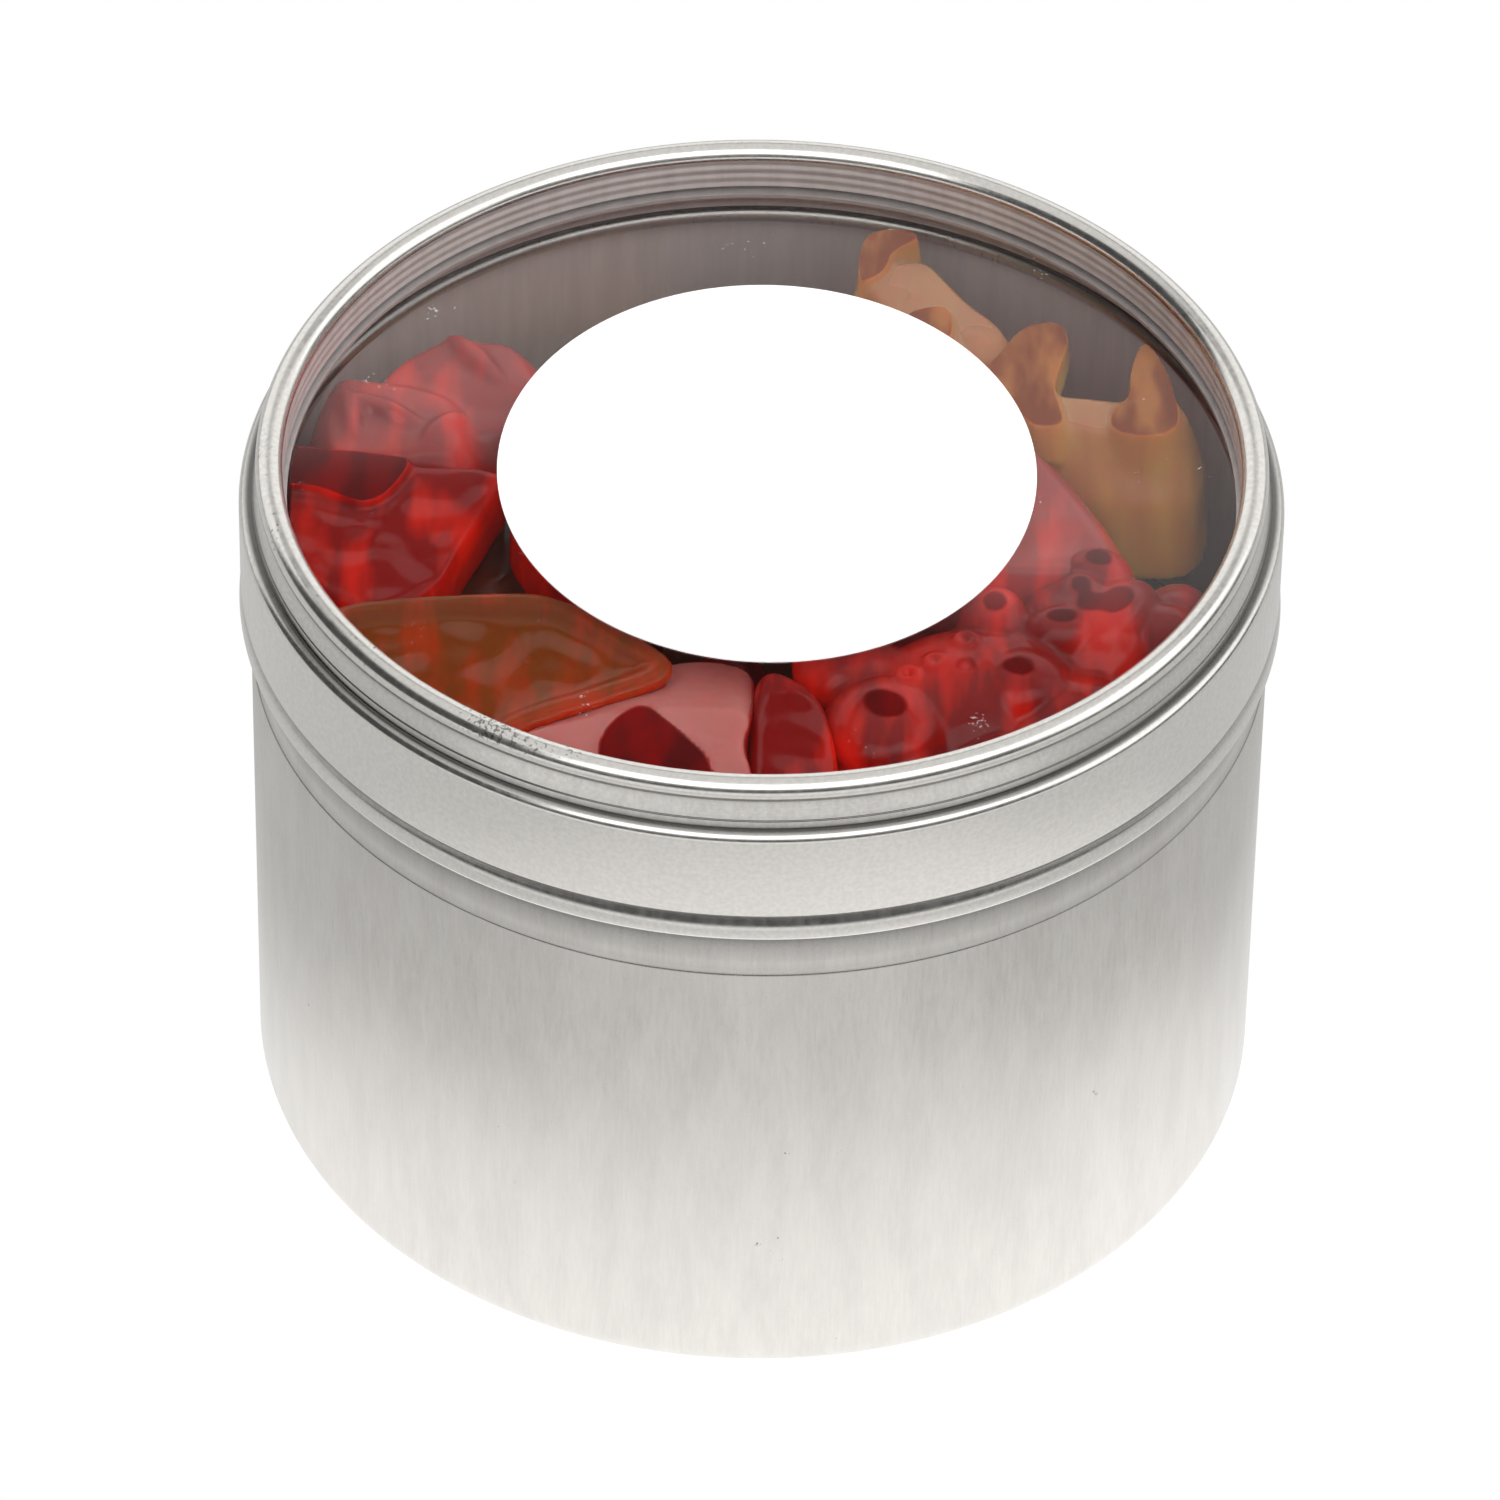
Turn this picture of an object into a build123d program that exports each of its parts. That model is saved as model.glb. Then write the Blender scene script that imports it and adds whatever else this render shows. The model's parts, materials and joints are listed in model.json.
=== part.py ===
from build123d import *
from math import cos, radians, sin
import os

# A round slip-lid tin with a clear window in its lid, closed, and full of gummy sweets.
# Millimetres. The origin is at the middle of the base, where the tin stands, and +Z points up.
# The front of the tin, as it is usually seen, looks along -Y.

os.makedirs("parts", exist_ok=True)

# Tin body, drawn from one sheet
tin_sheet = 0.25
body_radius = 32.3
mouth_height = 43.7
base_corner = 2.0
foot_width = 2.7
panel_rise = 0.6
panel_slope = 0.6
step_below_hem = 3.6
step_rise = 0.3
neck_step = 0.2
curl_radius = 0.6
curl_wrap_angle = 270

# Lid shell, pressed from one sheet
lid_sheet = 0.27
slip_clearance = 0.08
lid_overlap = 6.0
hem_height = 1.45
hem_proud = 0.1
hem_round = 0.3
groove_radius = 0.12
ledge_above_mouth = 2.5
shoulder_radius = 0.65
ledge_width = 0.12
ring_height = 3.15
ring_lean = 0.31
bead_radius = 0.85
waist_angle = 36
crease_height = 0.5
crease_radius = 0.07

# Window, the ring that holds it, and the bare label
window_thickness = 0.5
window_edge_gap = 0.25
retainer_lip = 0.25
retainer_sheet = 0.25
seat_gap = 0.1
label_half_width = 17.0
label_half_depth = 18.4
label_thickness = 0.1
label_shift_x = 0.3
label_shift_y = 1.4
label_turn = 2.2

# Sweets: how far they stay from each other and from the metal
sweet_gap = 0.4

# Worked out from the sizes above
neck_radius = body_radius - neck_step
neck_inner_radius = neck_radius - tin_sheet
body_inner_radius = body_radius - tin_sheet
curl_height = mouth_height - curl_radius
curl_centre_radius = neck_radius - curl_radius
floor_height = panel_rise + tin_sheet

hem_bottom = mouth_height - lid_overlap
hem_top = hem_bottom + hem_height
step_height = hem_bottom - step_below_hem
hem_inner_radius = neck_radius + slip_clearance
hem_outer_radius = hem_inner_radius + 3 * lid_sheet
skirt_radius = hem_outer_radius - hem_proud
skirt_inner_radius = skirt_radius - lid_sheet
ledge_height = mouth_height + ledge_above_mouth
ledge_underside = ledge_height - lid_sheet
shoulder_centre_radius = skirt_radius - shoulder_radius
shoulder_centre_height = ledge_height - shoulder_radius
wall_foot_radius = shoulder_centre_radius - ledge_width
bead_height = ledge_height + ring_height - bead_radius
bead_centre_radius = wall_foot_radius - ring_lean - bead_radius
bead_inner_radius = bead_radius - lid_sheet
aperture_radius = bead_centre_radius - bead_radius
window_top = ledge_underside + window_thickness
window_radius = wall_foot_radius - lid_sheet - window_edge_gap


def on_bead(radius):
    """The point of the bead's circle of this radius where the ring wall meets it."""
    across = bead_centre_radius + radius * cos(radians(waist_angle))
    return (across, bead_height - radius * sin(radians(waist_angle)))


# Tin body: a seamless cup with a raised base panel, a slight step in to the neck, and a curled mouth
with BuildPart() as tin_body:
    foot_outer = (body_radius - base_corner, 0)
    foot_inner = (body_radius - base_corner - foot_width, 0)
    panel_edge = (foot_inner[0] - panel_slope, panel_rise)
    step_foot = (body_radius, step_height)
    step_top = (neck_radius, step_height + step_rise)
    mouth_outside = (neck_radius, curl_height)
    mouth_inside = (neck_inner_radius, curl_height)
    curl_centre = (curl_centre_radius, curl_height)
    corner_centre = (body_radius - base_corner, base_corner)
    with BuildSketch(Plane.XZ):
        with BuildLine():
            Line((0, panel_rise), panel_edge)
            Line(panel_edge, foot_inner)
            Line(foot_inner, foot_outer)
            CenterArc(corner_centre, base_corner, -90, 90)
            Line((body_radius, base_corner), step_foot)
            Line(step_foot, step_top)
            Line(step_top, mouth_outside)
            outer_curl = CenterArc(curl_centre, curl_radius, 0, curl_wrap_angle)
            inner_curl = CenterArc(curl_centre, curl_radius - tin_sheet, 0, curl_wrap_angle)
            Line(outer_curl @ 1, inner_curl @ 1)
            Line(mouth_inside, (neck_inner_radius, step_top[1]))
            Line((neck_inner_radius, step_top[1]), (body_inner_radius, step_height))
            Line((body_inner_radius, step_height), (body_inner_radius, base_corner))
            CenterArc(corner_centre, base_corner - tin_sheet, -90, 90)
            Line((foot_outer[0], tin_sheet), (foot_inner[0], tin_sheet))
            Line((foot_inner[0], tin_sheet), (panel_edge[0], floor_height))
            Line((panel_edge[0], floor_height), (0, floor_height))
            Line((0, floor_height), (0, panel_rise))
        make_face()
    revolve(axis=Axis.Z)
tin_body.part.label = "tin_body"
export_step(tin_body.part, "parts/tin_body.step")

# Lid shell: folded hem, skirt, rounded shoulder, ring wall, rolled rim bead and the wall of the aperture
with BuildPart() as lid_shell:
    wall_foot = (wall_foot_radius, ledge_height)
    wall_foot_inside = (wall_foot_radius - lid_sheet, ledge_underside)
    bead_centre = (bead_centre_radius, bead_height)
    shoulder_centre = (shoulder_centre_radius, shoulder_centre_height)
    aperture_inside = (bead_centre_radius - bead_inner_radius, bead_height)
    aperture_face = (aperture_radius, bead_height)
    over_the_top = 180 + waist_angle
    hem_shoulder = (hem_outer_radius, hem_top - hem_proud)
    with BuildSketch(Plane.XZ):
        with BuildLine():
            Line((hem_inner_radius, hem_bottom + hem_round), (hem_inner_radius, hem_top))
            Line((hem_inner_radius, hem_top), (skirt_inner_radius, hem_top))
            Line((skirt_inner_radius, hem_top), (skirt_inner_radius, shoulder_centre_height))
            CenterArc(shoulder_centre, shoulder_radius - lid_sheet, 0, 90)
            Line((shoulder_centre_radius, ledge_underside), wall_foot_inside)
            Line(wall_foot_inside, on_bead(bead_inner_radius))
            CenterArc(bead_centre, bead_inner_radius, -waist_angle, over_the_top)
            Line(aperture_inside, (aperture_inside[0], window_top))
            Line((aperture_inside[0], window_top), (aperture_radius, window_top))
            Line((aperture_radius, window_top), aperture_face)
            CenterArc(bead_centre, bead_radius, -waist_angle, over_the_top)
            Line(on_bead(bead_radius), wall_foot)
            Line(wall_foot, (shoulder_centre_radius, ledge_height))
            CenterArc(shoulder_centre, shoulder_radius, 0, 90)
            Line((skirt_radius, shoulder_centre_height), (skirt_radius, hem_top))
            Line((skirt_radius, hem_top), hem_shoulder)
            Line(hem_shoulder, (hem_outer_radius, hem_bottom + hem_round))
            CenterArc((hem_outer_radius - hem_round, hem_bottom + hem_round), hem_round, -90, 90)
            Line((hem_outer_radius - hem_round, hem_bottom), (hem_inner_radius + hem_round, hem_bottom))
            CenterArc((hem_inner_radius + hem_round, hem_bottom + hem_round), hem_round, 180, 90)
        make_face()
    revolve(axis=Axis.Z)
    # The pressed line above the hem, and the fine crease above the foot of the ring wall
    waist = on_bead(bead_radius)
    crease_share = crease_height / (waist[1] - ledge_height)
    crease_at = (wall_foot_radius + (waist[0] - wall_foot_radius) * crease_share, ledge_height + crease_height)
    with BuildSketch(Plane.XZ):
        with Locations((skirt_radius, hem_top + groove_radius / 2)):
            Circle(groove_radius)
        with Locations(crease_at):
            Circle(crease_radius)
    revolve(axis=Axis.Z, mode=Mode.SUBTRACT)
lid_shell.part.label = "lid_shell"
export_step(lid_shell.part, "parts/lid_shell.step")

# Window retainer: a thin ring under the window, whose turned-down wall is what sits on the mouth
with BuildPart() as window_retainer:
    lip_radius = aperture_radius - retainer_lip
    wall_middle_radius = curl_centre_radius
    wall_inner_radius = wall_middle_radius - retainer_sheet / 2
    wall_outer_radius = wall_middle_radius + retainer_sheet / 2
    flange_bottom = ledge_underside - retainer_sheet
    wall_bottom = mouth_height + seat_gap
    with BuildSketch(Plane.XZ):
        with BuildLine():
            Polyline(
                (lip_radius, ledge_underside),
                (wall_foot_radius, ledge_underside),
                (wall_foot_radius, flange_bottom),
                (wall_outer_radius, flange_bottom),
                (wall_outer_radius, wall_bottom),
                (wall_inner_radius, wall_bottom),
                (wall_inner_radius, flange_bottom),
                (lip_radius, flange_bottom),
                close=True,
            )
        make_face()
    revolve(axis=Axis.Z)
window_retainer.part.label = "window_retainer"
export_step(window_retainer.part, "parts/window_retainer.step")

# Window: a clear disc, under the wall of the aperture and on the retainer
with BuildPart() as window:
    with BuildSketch(Plane.XY.offset(ledge_underside)):
        Circle(window_radius)
    extrude(amount=window_thickness)
window.part.label = "window"
export_step(window.part, "parts/window.step")

# Label: a bare oval of paper, stuck on top of the window
with BuildPart() as label:
    with BuildSketch(Plane.XY.offset(window_top)):
        with Locations(Location((label_shift_x, label_shift_y, 0), label_turn)):
            Ellipse(label_half_width, label_half_depth)
    extrude(amount=label_thickness)
label.part.label = "label"
export_step(label.part, "parts/label.step")

# Sweets. They fill the tin in four layers, so their size follows from the room inside it.
layers = 4
fill_height = flange_bottom - floor_height
bear_height = (fill_height - (layers + 1) * sweet_gap) / layers
layer_pitch = bear_height + sweet_gap
bear_length_share = 0.707
bear_length = bear_length_share * neck_inner_radius

# Shares of the bear's length: places along it and across it, and radii
head_y_share = 0.267
head_radius_share = 0.195
ear_shares = (0.148, 0.4, 0.083)
muzzle_y_share = 0.25
muzzle_radius_share = 0.1
arm_root_shares = (0.18, 0.07)
arm_tip_shares = (0.125, 0.005)
arm_radius_share = 0.074
leg_root_shares = (0.16, -0.28)
leg_tip_shares = (0.118, -0.39)
leg_radius_share = 0.1
torso_y_share = -0.115
torso_reach_share = 0.11
torso_radius_share = 0.215
back_width_share = 0.48
back_length_share = 0.95
# Shares of the bear's height
middle_height_share = 0.42
ear_height_share = 0.36
back_thickness_share = 0.24


# One bear, lying on its flat back: head towards +Y, its paws, feet and muzzle pointing up
middle_height = middle_height_share * bear_height


def rounded_bar(start, end, radius):
    """A bar from start to end with a half ball on each end."""
    along = end - start
    with BuildPart() as bar:
        with BuildSketch(Plane(origin=start, x_dir=along, z_dir=along.cross(Vector(0, 0, 1)))):
            with BuildLine():
                CenterArc((0, 0), radius, 90, 90)
                Line((-radius, 0), (along.length + radius, 0))
                CenterArc((along.length, 0), radius, 0, 90)
                Line((0, radius), (along.length, radius))
            make_face()
        revolve(axis=Axis(start, along))
    return bar.part


def limb(root_shares, tip_shares, radius_share, side):
    """An arm or leg, from inside the body up to a tip as high as the bear is thick."""
    radius = radius_share * bear_length
    root = Vector(side * root_shares[0] * bear_length, root_shares[1] * bear_length, middle_height)
    tip = Vector(side * tip_shares[0] * bear_length, tip_shares[1] * bear_length, bear_height - radius)
    return rounded_bar(root, tip, radius)


limbs = []
for side in (-1, 1):
    limbs.append(limb(arm_root_shares, arm_tip_shares, arm_radius_share, side))
    limbs.append(limb(leg_root_shares, leg_tip_shares, leg_radius_share, side))

torso = rounded_bar(
    Vector(0, (torso_y_share - torso_reach_share) * bear_length, middle_height),
    Vector(0, (torso_y_share + torso_reach_share) * bear_length, middle_height),
    torso_radius_share * bear_length,
)
with BuildPart() as bear:
    with BuildSketch():
        SlotOverall(back_length_share * bear_length, back_width_share * bear_length, rotation=90)
    extrude(amount=back_thickness_share * bear_height)
    add(torso)
    with Locations((0, head_y_share * bear_length, middle_height)):
        Sphere(head_radius_share * bear_length)
    muzzle_radius = muzzle_radius_share * bear_length
    with Locations((0, muzzle_y_share * bear_length, bear_height - muzzle_radius)):
        Sphere(muzzle_radius)
    for side in (-1, 1):
        ear_x = side * ear_shares[0] * bear_length
        with Locations((ear_x, ear_shares[1] * bear_length, ear_height_share * bear_height)):
            Sphere(ear_shares[2] * bear_length)
    add(limbs)
    split(bisect_by=Plane.XY, keep=Keep.TOP)

# Drops are flat oval sweets with rounded edges, half as thick as a bear
drop_height = (bear_height - sweet_gap) / 2
drop_edge_share = 0.4
widest_edge_share = 0.8


def drop(half_length, half_width, height):
    """An oval drop, lying on its flat side with its length along X."""
    tightest_bend = half_width**2 / half_length
    edge_radius = min(drop_edge_share * drop_height, widest_edge_share * tightest_bend)
    with BuildPart() as sweet:
        with BuildSketch():
            Ellipse(half_length, half_width)
        extrude(amount=height)
        fillet(sweet.edges(), edge_radius)
    return sweet.part


def place(form, name, x, y, base, turn, face_down):
    """Write a copy of a sweet, turned about Z by turn degrees, and lying on its face if asked."""
    lift = bear_height if face_down else 0
    roll = 180 if face_down else 0
    where = Location((x, y, base + lift), (0, 0, turn)) * Location((0, 0, 0), (0, roll, 0))
    with BuildPart() as sweet:
        add(form.moved(where))
    sweet.part.label = name
    export_step(sweet.part, "parts/" + name + ".step")


# The three hidden layers: a ring of bears nose to tail along the wall, and a pair in the middle
ring_count = 6
ring_radius_share = 0.77
pair_share = 0.262
layer_turn = 30
for layer in range(layers - 1):
    base = floor_height + sweet_gap + layer * layer_pitch
    for place_in_ring in range(ring_count):
        angle = place_in_ring * 360 / ring_count + layer * layer_turn
        x = ring_radius_share * neck_inner_radius * cos(radians(angle))
        y = ring_radius_share * neck_inner_radius * sin(radians(angle))
        name = "bear_layer%d_ring%d" % (layer + 1, place_in_ring + 1)
        place(bear.part, name, x, y, base, angle, False)
    for place_in_pair, side in enumerate((-1, 1)):
        angle = layer * layer_turn
        x = side * pair_share * bear_length * cos(radians(angle))
        y = side * pair_share * bear_length * sin(radians(angle))
        name = "bear_layer%d_middle%d" % (layer + 1, place_in_pair + 1)
        place(bear.part, name, x, y, base, angle, False)

# The top layer, seen through the window. Shares of the inner radius, turn in degrees, face down or not
top_base = floor_height + sweet_gap + (layers - 1) * layer_pitch
top_bears = {
    "bear_front_right": ((0.4, -0.425), -58, False),
    "bear_back_right": ((0.706, 0.188), 20, True),
    "bear_back": ((0.163, 0.57), -22, True),
    "bear_left": ((-0.505, 0.335), 86, False),
}
for name, (place_shares, turn, face_down) in top_bears.items():
    x, y = (share * neck_inner_radius for share in place_shares)
    place(bear.part, name, x, y, top_base, turn, face_down)

# Drops between the bears, in two levels within the top layer, but for one that stands in both.
# Shares of the inner radius for the place and the half length and width, then the turn in degrees,
# the height of the lower face and the thickness.
lower_level = top_base
upper_level = top_base + drop_height + sweet_gap
top_drops = {
    "drop_under_left": ((-0.43, -0.15), (0.25, 0.19), -10, lower_level, drop_height),
    "drop_under_front": ((-0.32, -0.6), (0.27, 0.18), 15, lower_level, drop_height),
    "drop_under_right": ((0.3, 0.02), (0.3, 0.18), 5, lower_level, drop_height),
    "drop_front_amber": ((-0.505, -0.46), (0.28, 0.185), 30, upper_level, drop_height),
    "drop_front_red": ((-0.22, -0.71), (0.225, 0.165), 22, upper_level, drop_height),
    "drop_left_red": ((-0.71, -0.08), (0.205, 0.2), 82, upper_level, drop_height),
    "drop_middle_red": ((-0.18, -0.1), (0.25, 0.18), -25, upper_level, drop_height),
    "drop_right_red": ((0.36, -0.02), (0.24, 0.17), -20, upper_level, drop_height),
    "drop_front_middle": ((0.07, -0.775), (0.135, 0.075), 84, lower_level, bear_height),
}
for name, (place_shares, half_size_shares, turn, base, height) in top_drops.items():
    x, y = (share * neck_inner_radius for share in place_shares)
    half_length, half_width = (share * neck_inner_radius for share in half_size_shares)
    place(drop(half_length, half_width, height), name, x, y, base, turn, False)

print("overall height", round(bead_height + bead_radius, 3), "lid diameter", round(2 * hem_outer_radius, 3))
print("bear", round(bear_length, 2), "long", round(bear_height, 2), "thick; drop", round(drop_height, 2), "thick")
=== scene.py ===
# %% [markdown]
# # A window lid tin full of gummy sweets
#
# The real object is a small round tin of bare metal. Its lid holds a clear disc with a plain oval
# label on it, and under the disc gummy sweets press against the window.
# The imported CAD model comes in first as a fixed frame. Everything after it dresses that frame:
# shapes that have to be very smooth or very soft are made again as meshes, and the rest keep
# their CAD shape and get a better finish.

# %% Load the frame
import bmesh
import bpy
import json
from math import atan2, cos, hypot, pi, radians, sin, sqrt, tau
from mathutils import Matrix, Quaternion, Vector, noise


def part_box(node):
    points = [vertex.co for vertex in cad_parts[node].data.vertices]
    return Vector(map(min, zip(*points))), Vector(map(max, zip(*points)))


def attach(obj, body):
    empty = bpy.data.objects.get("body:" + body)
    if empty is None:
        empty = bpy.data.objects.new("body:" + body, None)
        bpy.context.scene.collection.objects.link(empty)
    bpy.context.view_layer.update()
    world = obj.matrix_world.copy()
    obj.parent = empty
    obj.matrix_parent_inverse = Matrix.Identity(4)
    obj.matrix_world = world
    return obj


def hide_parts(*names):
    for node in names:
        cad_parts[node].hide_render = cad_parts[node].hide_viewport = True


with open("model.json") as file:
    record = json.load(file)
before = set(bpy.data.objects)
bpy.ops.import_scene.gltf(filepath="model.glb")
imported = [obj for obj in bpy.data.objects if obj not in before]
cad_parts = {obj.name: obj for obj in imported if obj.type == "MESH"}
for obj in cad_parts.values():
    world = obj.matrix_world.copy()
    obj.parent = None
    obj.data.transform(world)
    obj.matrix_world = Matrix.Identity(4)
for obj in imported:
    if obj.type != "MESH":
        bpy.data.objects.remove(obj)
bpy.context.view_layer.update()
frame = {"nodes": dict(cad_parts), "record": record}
nodes = frame["nodes"]
mm = 0.001
print("nodes in the frame:", len(nodes))

# %% [markdown]
# ## Camera
#
# The photograph looks down at the tin from the front at about forty degrees, through a long lens.
# The place of the camera was found by fitting the circles of the rim, the shoulder, the hem and
# the base. The picture is a little tilted, so the camera rolls by a degree.

# %% Camera
camera_place = Vector((0, -516.79, 482.04)) * mm
looks_at = Vector((-0.474, 0, 24.13)) * mm
camera_roll = radians(0.947)
sensor_width = 36
lens_length = 257.9

camera_data = bpy.data.cameras.new("camera")
camera_data.sensor_width = sensor_width
camera_data.lens = lens_length
camera_data.clip_start = 10 * mm
camera_data.clip_end = 10000 * mm
camera = bpy.data.objects.new("camera", camera_data)
bpy.context.scene.collection.objects.link(camera)
camera.location = camera_place
aim = (looks_at - camera_place).to_track_quat("-Z", "Y")
camera.rotation_mode = "QUATERNION"
camera.rotation_quaternion = aim @ Quaternion((0, 0, 1), camera_roll)
bpy.context.scene.camera = camera
bpy.context.scene.view_settings.view_transform = "Standard"
print("camera is %.0f mm from the tin" % ((looks_at - camera_place).length / mm))

# %% [markdown]
# ## Helpers for shader nodes
#
# Every finish here is a small tree of shader nodes. A few helpers keep the trees short. They add a
# node and fill in its sockets, do sums and mixes, read the place of a point, and start an empty
# material or a node group whose sockets have names.

# %% Node helpers
mix_colour_inputs = (6, 7)
mix_colour_output = 2


def add_node(tree, kind, settings=None, **values):
    """Add a node. Settings are its own properties, values go to sockets, as numbers or as links."""
    node = tree.nodes.new(kind)
    for setting, value in (settings or {}).items():
        setattr(node, setting, value)
    for socket_name, value in values.items():
        fill(tree, node.inputs[socket_name.replace("_", " ")], value)
    return node


def fill(tree, socket, value):
    """Give a socket a link, where the value is another socket, or else a plain value."""
    if isinstance(value, bpy.types.NodeSocket):
        tree.links.new(value, socket)
    elif socket.type == "RGBA" and len(value) == 3:
        socket.default_value = (*value, 1)
    else:
        socket.default_value = value


def calculate(tree, operation, *values, clamp=False):
    """A Math node; gives back its output."""
    node = add_node(tree, "ShaderNodeMath", {"operation": operation, "use_clamp": clamp})
    for socket, value in zip(node.inputs, values):
        fill(tree, socket, value)
    return node.outputs[0]


def remap(tree, value, low, high, to_low=0.0, to_high=1.0, smooth=True):
    """A Map Range node from low..high to to_low..to_high; gives back its output."""
    kind = "SMOOTHSTEP" if smooth else "LINEAR"
    node = add_node(tree, "ShaderNodeMapRange", {"interpolation_type": kind}, Value=value,
                    From_Min=low, From_Max=high, To_Min=to_low, To_Max=to_high)
    return node.outputs["Result"]


def mix_colour(tree, share, first, second):
    """A colour between first and second; gives back its output."""
    node = add_node(tree, "ShaderNodeMix", {"data_type": "RGBA"}, Factor=share)
    for index, colour in zip(mix_colour_inputs, (first, second)):
        fill(tree, node.inputs[index], colour)
    return node.outputs[mix_colour_output]


def object_place(tree):
    """The place of a point in its piece's own frame, in metres."""
    return add_node(tree, "ShaderNodeTexCoord").outputs["Object"]


def axes(tree, vector):
    """The X, Y and Z of a vector."""
    return tuple(add_node(tree, "ShaderNodeSeparateXYZ", Vector=vector).outputs)


def noise_value(tree, place, scale, **more):
    """Noise between 0 and 1; gives back its output."""
    return add_node(tree, "ShaderNodeTexNoise", Vector=place, Scale=scale, **more).outputs["Fac"]


def mix_shaders(tree, share, first, second):
    """Two shaders mixed; gives back its output."""
    node = tree.nodes.new("ShaderNodeMixShader")
    for socket, value in zip(node.inputs, (share, first, second)):
        fill(tree, socket, value)
    return node.outputs[0]


def new_material(name):
    """An empty material: its tree and its output node."""
    material = bpy.data.materials.new(name)
    material.use_nodes = True
    material.node_tree.nodes.clear()
    output = material.node_tree.nodes.new("ShaderNodeOutputMaterial")
    return material, material.node_tree, output


def new_group(name, inputs, outputs):
    """An empty node group whose inputs are numbers with a start value; gives tree, input, output."""
    tree = bpy.data.node_groups.new(name, "ShaderNodeTree")
    for socket_name, value in inputs.items():
        socket = tree.interface.new_socket(socket_name, in_out="INPUT", socket_type="NodeSocketFloat")
        socket.default_value = value
    for socket_name in outputs:
        tree.interface.new_socket(socket_name, in_out="OUTPUT", socket_type="NodeSocketFloat")
    return tree, tree.nodes.new("NodeGroupInput"), tree.nodes.new("NodeGroupOutput")


def use_group(tree, group, **values):
    """Place a node group in a tree and give it its values; gives back its output."""
    node = tree.nodes.new("ShaderNodeGroup")
    node.node_tree = group
    for socket_name, value in values.items():
        fill(tree, node.inputs[socket_name.replace("_", " ")], value)
    return node.outputs[0]


# %% [markdown]
# ## Streaks and scuffs
#
# Drawn tinplate shows fine upright streaks where the sheet slid over the die, and handling adds
# short dark marks. More than one metal here shows them, so each of the two is a node group that a
# metal places with its own numbers. Noise that is stretched upwards makes the streaks. Two noises
# added up and cut off near their peaks make the scuffs: a fine one for the marks, and a broad one
# that gathers them in patches.

# %% Node group: upright streaks
contrast_low = 0.3
contrast_high = 0.7
grain_group, grain_in, grain_out = new_group(
    "upright streaks", {"Across": 2600.0, "Along": 60.0}, ["Streaks"])
grain_parts = [calculate(grain_group, "MULTIPLY", part, grain_in.outputs[way]) for part, way in zip(
    axes(grain_group, object_place(grain_group)), ("Across", "Across", "Along"))]
grain_vector = add_node(grain_group, "ShaderNodeCombineXYZ",
                        X=grain_parts[0], Y=grain_parts[1], Z=grain_parts[2]).outputs[0]
grain_noise = noise_value(grain_group, grain_vector, 1.0, Detail=4.0, Roughness=0.65)
grain_group.links.new(remap(grain_group, grain_noise, contrast_low, contrast_high),
                      grain_out.inputs["Streaks"])

# %% Node group: small dark scuffs, scattered in patches
fine_share = 0.6
scuff_edge = 0.04


def patchy_noise(tree, place, size, patches):
    """Fine noise that stands higher in some broad patches than in others."""
    fine = noise_value(tree, place, size, Detail=3.0, Roughness=0.7)
    broad = noise_value(tree, place, patches, Detail=1.0)
    return calculate(tree, "ADD", calculate(tree, "MULTIPLY", fine, fine_share),
                     calculate(tree, "MULTIPLY", broad, 1.0 - fine_share))


scuff_group, scuff_in, scuff_out = new_group(
    "scuffs", {"Size": 1200.0, "Patches": 90.0, "Least": 0.6}, ["Scuffs"])
scuff_noise = patchy_noise(scuff_group, object_place(scuff_group), scuff_in.outputs["Size"],
                           scuff_in.outputs["Patches"])
scuff_least = scuff_in.outputs["Least"]
scuff_full = calculate(scuff_group, "ADD", scuff_least, scuff_edge)
scuff_group.links.new(remap(scuff_group, scuff_noise, scuff_least, scuff_full), scuff_out.inputs["Scuffs"])
print("node groups:", grain_group.name, "and", scuff_group.name)

# %% [markdown]
# ## The metals
#
# All are bare tinplate, a warm grey mirror that is slightly rough. The body is dull and streaked. The
# lid is brighter and smoother, with lines that run round the axis, as spun or rolled edges have, and
# dark marks on its rim. Both have painted shade where another surface is close by, under the hem and
# in the grooves. The faces inside the tin and round the window are duller.

# %% Metals
tin_colour = (0.74, 0.717, 0.68)
tin_streak_colour = (0.635, 0.61, 0.58)
tin_relief = 0.0015 * mm
tin_roughness = (0.27, 0.36)
inside_colour = (0.74, 0.68, 0.66)
inside_streak_colour = (0.66, 0.6, 0.58)
lid_colour = (0.80, 0.775, 0.735)
lid_grain_colour = (0.74, 0.717, 0.68)
lid_grain_size = 3200.0
lid_relief = 0.0012 * mm
lid_roughness = (0.19, 0.26)
line_fineness = 5000.0
line_drift = 60.0
# This dark colour serves the real scuffs and specks, and also the painted shade in crevices.
scuff_and_shade_colour = (0.13, 0.125, 0.12)
scuff_strength = 0.75
rim_scuff_bounds = ((2 * mm, -8 * mm), (2 * mm, -6 * mm), (48.5 * mm, 48.8 * mm))
# Painted shade: ambient occlusion darkens the colour where another surface is close by.
crevice_reach = 2.6 * mm
crevice_open = 0.975
crevice_shut = 0.8
no_shade_below = 6 * mm
tin_painted_shade_share = 0.9
lid_painted_shade_share = 0.85


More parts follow.
